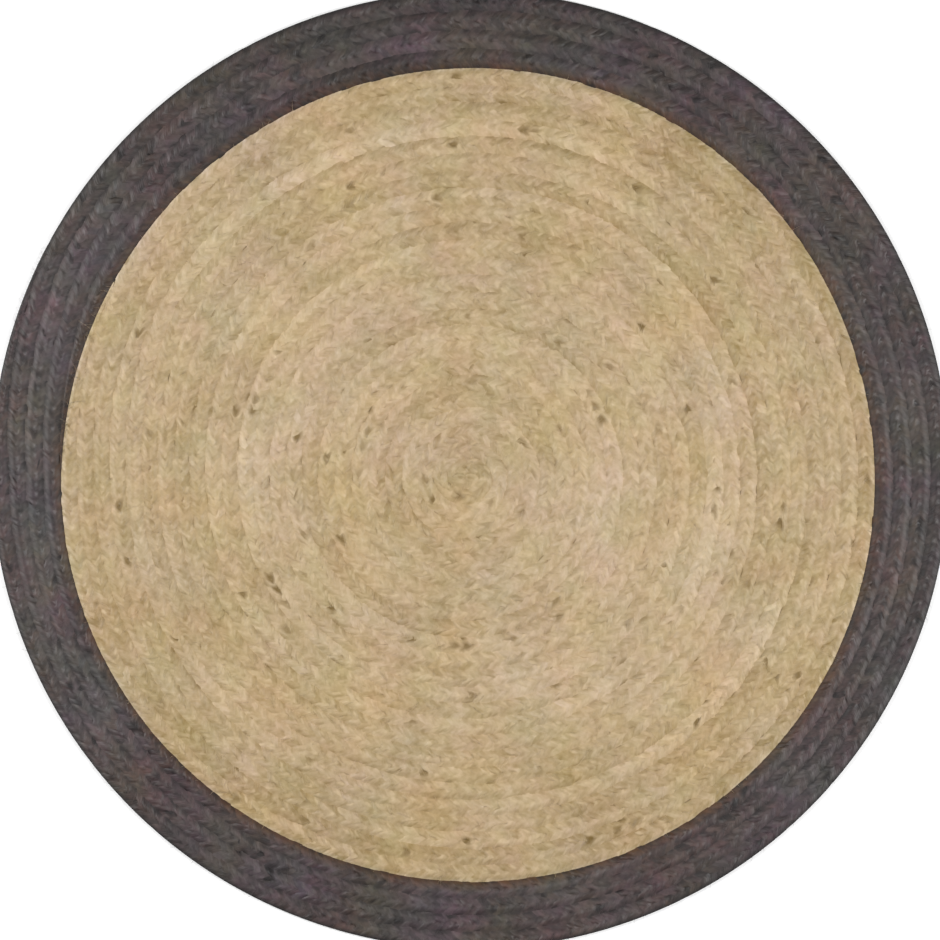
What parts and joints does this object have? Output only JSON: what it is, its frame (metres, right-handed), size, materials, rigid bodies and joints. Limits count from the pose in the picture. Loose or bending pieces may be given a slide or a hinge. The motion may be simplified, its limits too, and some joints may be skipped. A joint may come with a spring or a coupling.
{
  "type": "round jute rug",
  "caption": "Flat round rug coiled from braided natural jute, with a wide charcoal braided border and an arched ridge for each row.",
  "frame": {"origin": "centre of the rug's round outline, on the underside that lies on the floor", "axes": "+Z up through the rug, +X to the right and +Y up as the rug is seen from straight above"},
  "size_m": [1.1998, 1.2, 0.009],
  "materials": {
    "natural_jute": "matt three-strand braid of undyed golden jute with brown flecks",
    "charcoal_jute": "matt three-strand braid of jute dyed charcoal, mottled brown and grey"
  },
  "bodies": {
    "root": {"natural_field": "natural_jute", "dark_border": "charcoal_jute"}
  },
  "joints": []
}
